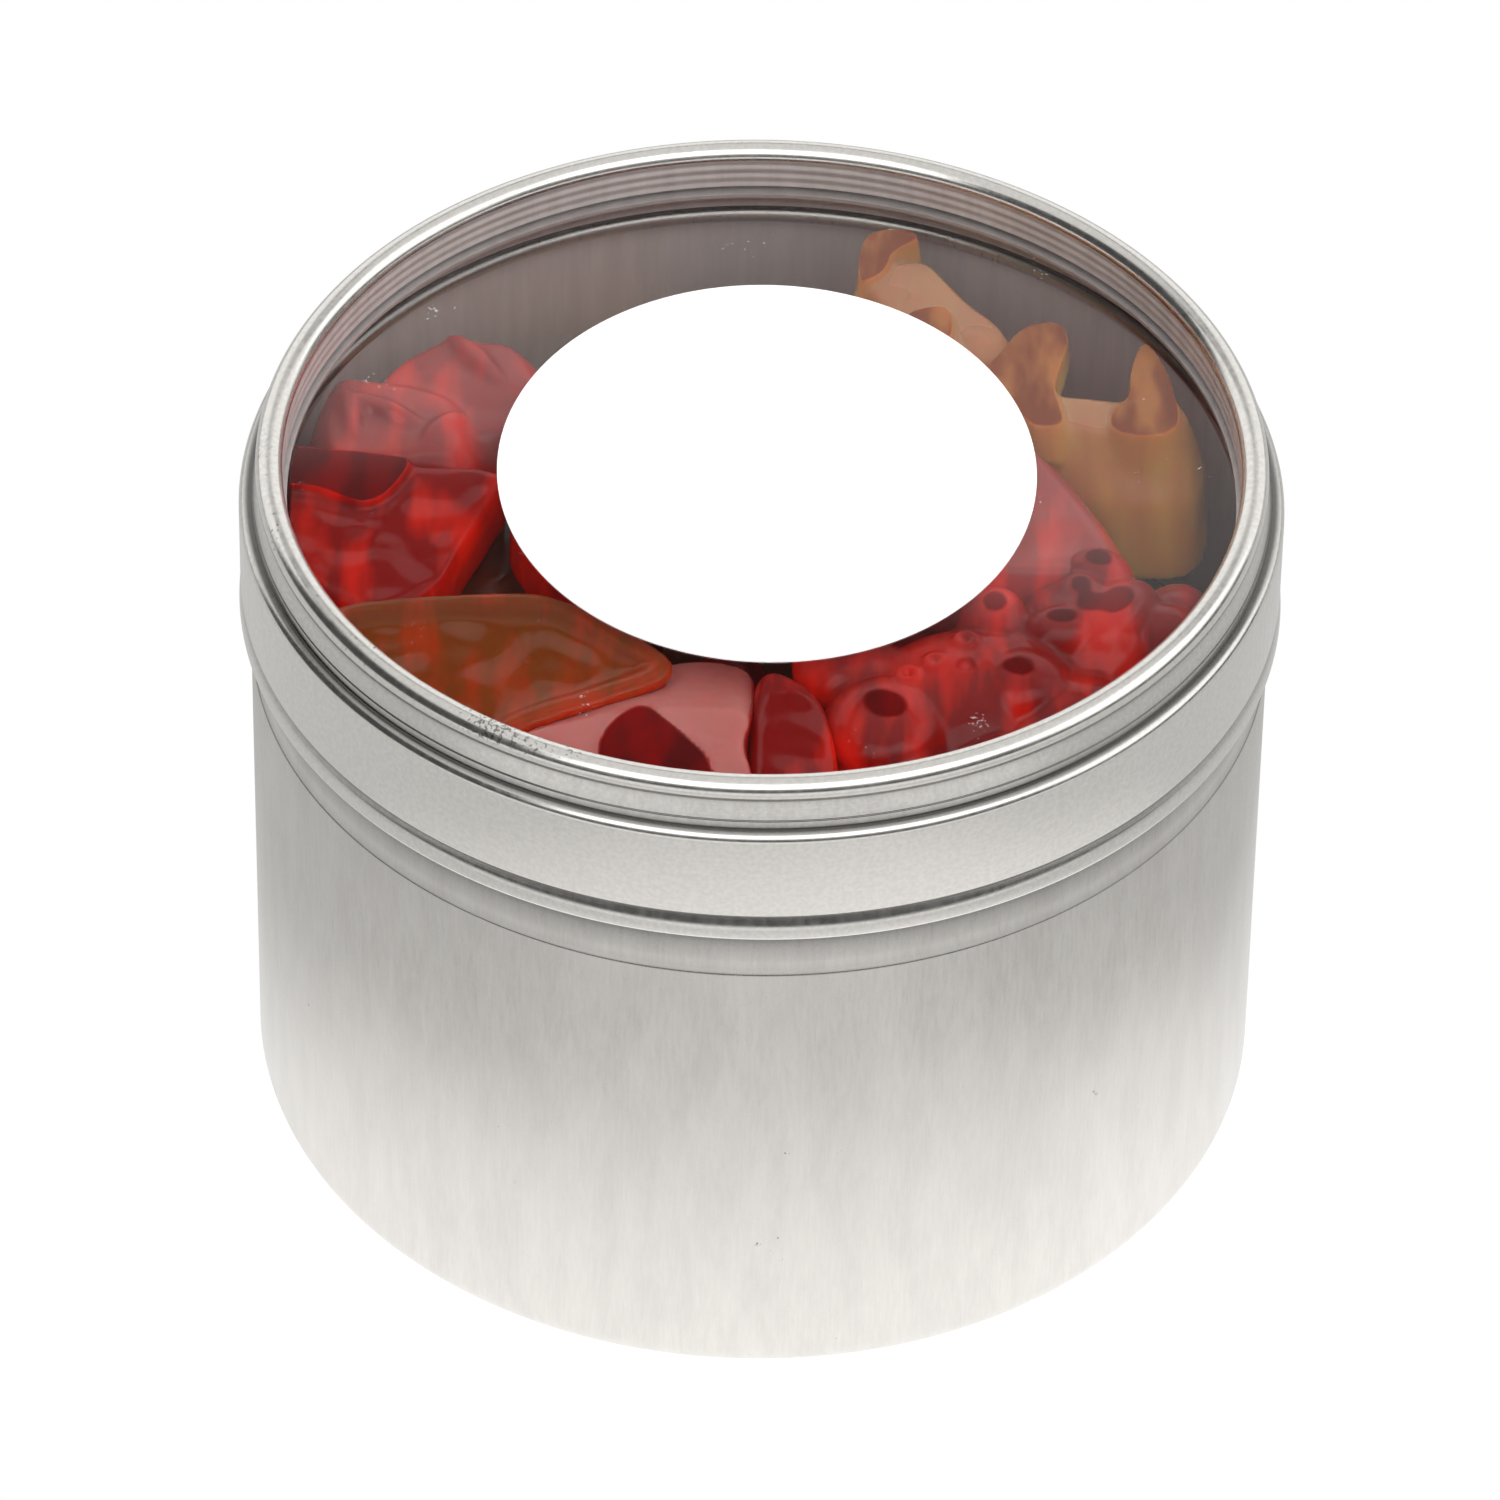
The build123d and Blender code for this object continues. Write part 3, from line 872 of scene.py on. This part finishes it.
def sweet(node, slot_name, frost_and_sheen=0.06, **lumps):
    """Sculpt one sweet from lumps and put it in the place of its node."""
    mesh = cast(node, **lumps)
    press_sweet(mesh, frost_and_sheen)
    mesh.shade_smooth()
    mesh.materials.append(gummy_finish[slot_name])
    place_sweet(node, mesh)
    print(node, "has", len(mesh.vertices), "points")


# %% [markdown]
# ### The sweets that show
#
# Places are millimetres in plan, read off the photograph through the camera, and heights follow
# from how much of each sweet its neighbours hide.

# %% Left: a red bear, and a red drop pressed flat
back_block = [(-25.4, 12.6), (-23.0, 16.0), (-20.4, 17.7), (-16.6, 17.6), (-14.6, 16.0),
              (-13.2, 11.6), (-14, 7), (-20, 6), (-25, 8.6)]
front_block = [(-28.2, 12.4), (-24.4, 12.4), (-19.6, 11.0), (-18.2, 8), (-18.6, 4.2), (-23.6, 3.6),
               (-28.4, 4.0)]
sweet("bear_left", "gummy_red", frost_and_sheen=0.34, smoothing=11, lofts=[
    ((grown(back_block, 1.02), 38), (back_block, 42.4), (grown(back_block, 0.76), 44.2)),
    ((front_block, 38), (front_block, 43.2), (grown(front_block, 0.76), 44.8)),
], balls=[
    (-24.4, 8.6, 44.0, 3.8, 0.9, 1.9, -28),
    (-26.2, 8.2, 44.0, 0.8, 3.4, 1.7, 8),
    (-20.4, 6.8, 44.2, 0.9, 2.4, 1.5, -35),
    (-18.4, 14.4, 43.6, 1.0, 3.6, 1.6, 35),
])
left_drop = [(-30.2, 3.4), (-22.6, 3.3), (-16.2, 2.8), (-16.9, -0.3), (-18.5, -4.7), (-20.4, -9.2),
             (-24.5, -11.5), (-30.2, -6)]
left_patch = [(-30.4, 3.2), (-27.2, 3.3), (-23.2, 2.8), (-22.6, 2.4), (-23.0, 1.0), (-24.0, -0.7),
              (-25.1, -1.4), (-26.1, -1.0), (-28.0, 0.0), (-30.4, 0.5)]
sweet("drop_left_red", "gummy_red", frost_and_sheen=0.05, smoothing=6, lofts=[
    ((grown(left_drop, 0.92), 39.5), (left_drop, 43.6), (grown(left_drop, 0.93), 45.1)),
], patches=[left_patch], balls=[
    (-25.2, -3.2, 44.6, 1.3, 0.6, 0.7, -25),
    (-23.4, -4.6, 44.6, 0.7, 0.5, 0.6),
    (-23.7, -7.6, 44.4, 1.3, 0.7, 0.7),
])

# %% Under the gaps: a dark brown drop and two red ones
under_left = [(-22, -2), (-16, 3.5), (-9, 2.5), (-6, -4), (-9, -9.5), (-16, -12), (-21, -9)]
sweet("drop_under_left", "gummy_brown", frost_and_sheen=0.04, balls=[(-17, -4.2, 40.8, 1.6, 1.2, 0.8)], lofts=[
    ((under_left, 35.0), (under_left, 40.4), (grown(under_left, 0.9), 41.2))])
under_front = [(-19, -17), (-11, -12.2), (-3, -12.5), (-1, -20), (-6, -24.5), (-13, -25), (-18, -22)]
sweet("drop_under_front", "gummy_red", frost_and_sheen=0.03, lofts=[
    ((under_front, 34.8), (under_front, 39.4), (grown(under_front, 0.9), 40))])
under_right = [(0.5, 1), (7, 6), (15, 6), (18.5, 1.2), (14, -4.8), (6, -5), (1, -3)]
sweet("drop_under_right", "gummy_red", frost_and_sheen=0.03, lofts=[((under_right, 34.8), (under_right, 39.7))])

# %% Front: the amber drop, the frosted red one and the clear red one beside it
amber_drop = [(-26.8, -12.2), (-21.5, -10.7), (-15.7, -10.2), (-11.8, -10.9), (-8.2, -13.6),
              (-5.6, -16.6), (-9, -19.0), (-14, -21.6), (-19.5, -25.0), (-26, -18)]
amber_rim = [(point.x, point.y, 45.2, 0.9, 0.9, 0.55) for point in rounded(grown(amber_drop, 0.95))]
sweet("drop_front_amber", "gummy_amber", frost_and_sheen=0.05, balls=amber_rim, lofts=[
    ((grown(amber_drop, 0.94), 40.4), (amber_drop, 44.4), (grown(amber_drop, 0.97), 45.2))])

red_low = [(-18, -24.6), (-12, -17.2), (-7, -13.6), (-0.6, -13.9), (-0.5, -22), (-0.5, -30.5),
           (-12, -30.5)]
red_high = [(-16.6, -25.0), (-11.4, -21.9), (-6.6, -20.6), (-0.9, -20.9), (-0.8, -24), (-0.8, -30.5),
            (-12, -30.5)]
red_patch = [(-7.2, -20.9), (-9.0, -22.9), (-9.4, -25.6), (-9.3, -30.5), (-2.6, -30.5), (-3.2, -26.0),
             (-4.2, -24.1), (-5.7, -22.1)]
sweet("drop_front_red", "gummy_red", frost_and_sheen=1.1, smoothing=5, lofts=[
    ((red_low, 40.0), (red_low, 43.0), (red_high, 45.65))], patches=[red_patch])
middle_drop = [(-0.2, -16.6), (2.2, -16.2), (4.2, -19), (5.0, -24), (5.2, -30.5), (0.0, -30.5)]
sweet("drop_front_middle", "gummy_red", frost_and_sheen=0.03, smoothing=6, lofts=[
    ((middle_drop, 38.0), (middle_drop, 44.0), (grown(middle_drop, 0.85), 45.2))])

# %% Middle and right: red drops, mostly under the label
middle_red = [(-15.4, 0.5), (-8, 3.4), (-1.5, 0.5), (1.5, -4.5), (-3, -8.3), (-10, -7.9), (-14.6, -5)]
sweet("drop_middle_red", "gummy_red", lofts=[
    ((middle_red, 40.4), (middle_red, 44), (grown(middle_red, 0.9), 45.2))])
right_low = [(5, 0.5), (9, 6.0), (15.6, 7.0), (19.2, 5.0), (23.4, -5.0), (21, -7.2), (12, -6.6), (6, -3)]
right_high = [(7, 0.5), (10, 5.0), (15.4, 5.9), (18.0, 3.8), (22.0, -5.2), (18, -6.4), (12, -5.6), (8, -3)]
sweet("drop_right_red", "gummy_red", frost_and_sheen=0.45, smoothing=9, lofts=[
    ((right_low, 39.6), (right_low, 43.4), (right_high, 45.3))])

# %% [markdown]
# ### The bears at the front right and the back right
#
# The red bear lies on its back, so its muzzle, paws and buttons touch the window, and each shows as
# a small dark ellipse. A dome sunk under the press plane gives just that. The two pale amber bears
# lie face down, and their ears press against the window.

# %% Front right: the red bear on its back
belly_lumps = [
    (12.8, -15.6, 38.6, 7.2, 10.4, 7.2, -60),
    (21.0, -9.6, 38.8, 6.8, 6.4, 7.0, -50),
    (19.0, -17.4, 37.6, 7.0, 5.0, 7.2, 30),
    (25.4, -10.4, 39.6, 3.8, 4.2, 5.6),
    (8.4, -20.8, 38.8, 4.6, 5.4, 6.6, 10),
    (15.0, -22.4, 37.4, 6.0, 4.0, 7.2, 30),
    (7.0, -14.6, 38.4, 4.6, 4.4, 7.0),
    (26.2, -6.4, 38.0, 3.4, 4.2, 5.2),
]
belly_domes = [
    (20.0, -8.3, 0.75, 0.95), (22.2, -9.7, 1.0, 1.5, -30), (18.8, -11.3, 1.1, 0.8),
    (20.5, -10.0, 1.1, 1.0, 50), (21.1, -5.8, 0.95, 0.8, -20), (7.8, -19.8, 1.5, 1.6),
    (16.1, -16.1, 1.3, 1.15), (14.6, -10.2, 0.9, 1.1), (5.4, -14.4, 1.3, 1.3),
]
button_places = [(9.2, -16.9), (10.9, -15.7), (12.8, -13.6), (12.8, -16.2)]
button_radius = 0.6
button_beads = 10
button_turns = [tau * step / button_beads for step in range(button_beads)]
button_rings = [(x + button_radius * cos(turn), y + button_radius * sin(turn), 45.55, 0.26, 0.26, 0.35)
                for x, y in button_places for turn in button_turns]
fine_voxel = 0.2
sweet("bear_front_right", "gummy_red", frost_and_sheen=0.1, size=fine_voxel,
      balls=belly_lumps + [dome(*sizes) for sizes in belly_domes] + button_rings)

# %% Back right: two pale amber bears, face down
ear_a = [(15.2, 14.0), (16.5, 16.3), (18.4, 17.0), (19.2, 15.8), (18.6, 12.3), (18.4, 10.5),
         (18.8, 7.8), (17.1, 7.6), (15.9, 9.9), (14.6, 12.6)]
ear_b = [(24.3, 15.0), (25.6, 12.3), (26.2, 8.4), (25.5, 6.8), (23.7, 6.5), (22.4, 7.2), (22.5, 8.7),
         (23.3, 9.9), (23.5, 12.3)]
right_foot = [(19.5, 5.8), (22, 3.4), (25.5, 2.8), (28, 4.2), (28.2, 9), (23, 11), (20, 9.6)]
right_waist = [(17.2, 7.0), (20.6, 4.8), (25.5, 4.5), (27.7, 5.6), (27.8, 10), (22, 11.6), (18, 11)]
right_ridge = [(16.6, 8.8), (20.5, 7.5), (22.6, 7.0), (26.2, 7.2), (26.6, 9.5), (22, 10.0), (17, 10.6)]
sweet("bear_back_right", "gummy_pale_amber", frost_and_sheen=0.55, smoothing=4, patches=[ear_a, ear_b], lofts=[
    ((right_foot, 36.5), (right_waist, 41.5), (right_ridge, 45.5))])
back_body = [(6.0, 21.3), (7.4, 24.4), (10.2, 25.2), (13.0, 20.9), (16.1, 17.0), (16.4, 13),
             (11.6, 14.4), (8, 18)]
sweet("bear_back", "gummy_pale_amber", frost_and_sheen=0.6, smoothing=6, lofts=[
    ((grown(back_body, 1.1), 39), (back_body, 43.6), (grown(back_body, 0.8), 45.2)),
], patches=[
    [(6.5, 25.4), (8.2, 26.4), (9.7, 25.8), (8.2, 24.3), (7.5, 22.4), (6.2, 21.6)],
    [(9.2, 17.8), (11.5, 18.6), (11.7, 15.8), (9.6, 15.6)],
], balls=[(3.6, 20.0, 41.2, 4.4, 3.0, 3.6, -20), (13.9, 16.2, 43.2, 1.9, 2.8, 2.4, 30)])

# %% [markdown]
# ### The sweets underneath
#
# Three layers of bears fill the rest. A bear is cast belly up: a round head with two ears and a
# muzzle, a long belly, two arms and two legs. These bears only show as colour in the gaps, so one
# mesh per colour is shared. Each copy takes the place of its CAD node and a turn set by its layer,
# or faces outwards where the node lies in the ring.

# %% A hidden bear
bear_low, bear_high = (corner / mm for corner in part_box("bear_layer1_middle1"))
bear_thick = bear_high.z - bear_low.z
bear_length = 22.5
hidden_voxel = 0.6
hidden_smoothing = 4
hidden_glow = 0.4


def bear_balls(length, thick):
    """The lumps of a bear that lies on its back at the origin, head towards +Y."""
    middle = 0.42 * thick
    balls = [
        (0, -0.11 * length, middle, 0.23 * length, 0.33 * length, 0.44 * thick),
        (0, 0.27 * length, middle, 0.2 * length, 0.19 * length, 0.42 * thick),
        (0, 0.25 * length, 0.78 * thick, 0.1 * length, 0.1 * length, 0.2 * thick),
    ]
    for side in (-1, 1):
        balls += [
            (side * 0.15 * length, 0.4 * length, 0.4 * thick, 0.085 * length, 0.085 * length, 0.2 * thick),
            (side * 0.16 * length, 0.03 * length, 0.7 * thick, 0.08 * length, 0.11 * length, 0.28 * thick,
             side * 30),
            (side * 0.14 * length, -0.34 * length, 0.62 * thick, 0.1 * length, 0.12 * length, 0.36 * thick),
        ]
    return balls


def hidden_bear(slot_name):
    """One cast bear in metres, in the finish of this slot."""
    mesh = cast("hidden_" + slot_name, bear_balls(bear_length, bear_thick), smoothing=hidden_smoothing,
                size=hidden_voxel)
    mesh.transform(Matrix.Diagonal((mm, mm, mm, 1)))
    glow = mesh.attributes.new("glow", "FLOAT", "POINT")
    glow.data.foreach_set("value", [hidden_glow] * len(mesh.vertices))
    mesh.shade_smooth()
    mesh.materials.append(gummy_finish[slot_name])
    return mesh


# %% Hidden layers
slot_of = {entry["node"]: entry["material_slot"] for entry in frame["record"]["subparts"]}
hidden_nodes = sorted(name for name in nodes if name.startswith("bear_layer"))
shared_bears = {slot_name: hidden_bear(slot_name)
                for slot_name in dict.fromkeys(slot_of[node] for node in hidden_nodes)}
layer_turn = 30
for node in hidden_nodes:
    low, high = (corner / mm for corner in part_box(node))
    middle = (low + high) / 2
    layer = int(node[len("bear_layer")])
    turn = radians((layer - 1) * layer_turn)
    if "ring" in node:
        turn = atan2(middle.y, middle.x)
    copy = place_sweet(node, shared_bears[slot_of[node]])
    copy.location = (middle.x * mm, middle.y * mm, low.z * mm)
    copy.rotation_euler = (0, 0, turn)
print("hidden bears:", len(hidden_nodes))

# %% [markdown]
# ## Floor
#
# The tin stands on a white sweep. The floor gives off its own light, so it looks plain white, and it
# is brightest close to the tin: the lower part of the tin's wall mirrors that part of it. To the
# sides and the rear it is darker, but only in what the metal mirrors and not to the camera.

# %% Floor
floor_half = 420 * mm
floor_front = 330 * mm
floor_drop = 0.05 * mm
floor_near = 1.27
floor_fall = 0.0095 / mm
floor_tilt = 0.0013 / mm
floor_side_reach = 61 * mm
floor_side_power = 4.0
floor_side_loss = 0.225
floor_rear_from = -25 * mm
floor_rear_full = 15 * mm
floor_rear_loss = 0.33
floor_least = 0.95
floor_rear_least = 0.62
floor_far_front = -140 * mm
floor_near_front = -90 * mm


def white_floor():
    """A floor that looks white, and is graded where the tin mirrors it."""
    material, tree, output = new_material("white_floor")
    x, y, z = axes(tree, object_place(tree))
    flat = add_node(tree, "ShaderNodeCombineXYZ", X=x, Y=y).outputs[0]
    reach = add_node(tree, "ShaderNodeVectorMath", {"operation": "LENGTH"}, Vector=flat).outputs["Value"]
    beyond = calculate(tree, "SUBTRACT", body_radius * mm, reach)
    glow = calculate(tree, "MULTIPLY_ADD", beyond, floor_fall, floor_near)
    glow = calculate(tree, "MINIMUM", glow, floor_near)
    sideways = calculate(tree, "DIVIDE", calculate(tree, "ABSOLUTE", x), floor_side_reach)
    side_loss = calculate(tree, "MULTIPLY", calculate(tree, "POWER", sideways, floor_side_power),
                          -floor_side_loss)
    tilted = calculate(tree, "MULTIPLY_ADD", x, floor_tilt, side_loss)
    rear_loss = remap(tree, y, floor_rear_from, floor_rear_full, 0.0, -floor_rear_loss)
    tilted = calculate(tree, "ADD", tilted, rear_loss)
    least = remap(tree, y, floor_far_front, floor_near_front, floor_least, floor_rear_least)
    glow = calculate(tree, "MAXIMUM", calculate(tree, "ADD", glow, tilted), least)
    seen = add_node(tree, "ShaderNodeLightPath").outputs["Is Camera Ray"]
    light = add_node(tree, "ShaderNodeEmission", Color=(1.0, 1.0, 1.0),
                     Strength=calculate(tree, "MAXIMUM", glow, seen))
    tree.links.new(light.outputs[0], output.inputs["Surface"])
    return material


floor_mesh = bpy.data.meshes.new("floor")
floor_corners = [(-floor_half, -floor_front), (floor_half, -floor_front), (floor_half, floor_half),
                 (-floor_half, floor_half)]
floor_mesh.from_pydata([(x, y, -floor_drop) for x, y in floor_corners], [], [(0, 1, 2, 3)])
floor_mesh.materials.append(white_floor())
floor = bpy.data.objects.new("floor", floor_mesh)
bpy.context.scene.collection.objects.link(floor)
print("floor: %.0f mm wide" % (2 * floor_half / mm))

# %% [markdown]
# ## Light
#
# The highlights on the rim tell where the lamps were: a large soft box above and in front, a bright
# side on the right and a dark one on the left. The world holds these as soft patches of light by
# direction, with an even light from the rear and from below. The camera itself sees plain white
# there, as in the photograph.

# %% World
world = bpy.data.worlds.new("studio")
bpy.context.scene.world = world
world.use_nodes = True
sky = world.node_tree
sky.nodes.clear()
sky_output = sky.nodes.new("ShaderNodeOutputWorld")
sky_x, sky_y, sky_z = axes(sky, add_node(sky, "ShaderNodeTexCoord").outputs["Generated"])
sky_turn = calculate(sky, "ARCTAN2", sky_x, calculate(sky, "MULTIPLY", sky_y, -1.0))
sky_rise = calculate(sky, "ARCSINE", sky_z)


def panel(turns, rises, level, soft):
    """A soft edged panel of light, in degrees: turns from the front to the right, rises from level.

    An edge beyond 180 degrees of turn, or 90 of rise, never shows.
    """
    light = level
    for angle, (low, high) in ((sky_turn, turns), (sky_rise, rises)):
        for edge, inwards in ((low, soft / 2), (high, -soft / 2)):
            share = remap(sky, angle, radians(edge - inwards), radians(edge + inwards))
            light = calculate(sky, "MULTIPLY", light, share)
    return light


past_rear = 400
all_round = (-past_rear, past_rear)
panels = {
    "soft box in front": panel(turns=(-46, 62), rises=(28, 64), level=1.9, soft=8),
    "right side": panel(turns=(62, 122), rises=(14, 50), level=1.5, soft=14),
    "overhead": panel(turns=all_round, rises=(46, 100), level=0.72, soft=5),
    "low front": panel(turns=(-46, 62), rises=(12, 26), level=0.15, soft=6),
    "rear right": panel(turns=(120, past_rear), rises=(0, 40.75), level=1.0, soft=0.3),
    "rear left": panel(turns=(-past_rear, -120), rises=(0, 39.95), level=1.0, soft=0.3),
    "below": panel(turns=all_round, rises=(-100, -4), level=0.75, soft=4),
}
sky_level = 0.06
for light_panel in panels.values():
    sky_level = calculate(sky, "ADD", sky_level, light_panel)
sky_seen = add_node(sky, "ShaderNodeLightPath").outputs["Is Camera Ray"]
sky_level = calculate(sky, "MAXIMUM", sky_level, sky_seen)
sky_light = add_node(sky, "ShaderNodeBackground", Color=(1.0, 1.0, 1.0), Strength=sky_level)
sky.links.new(sky_light.outputs[0], sky_output.inputs["Surface"])
print("panels of light:", ", ".join(panels))
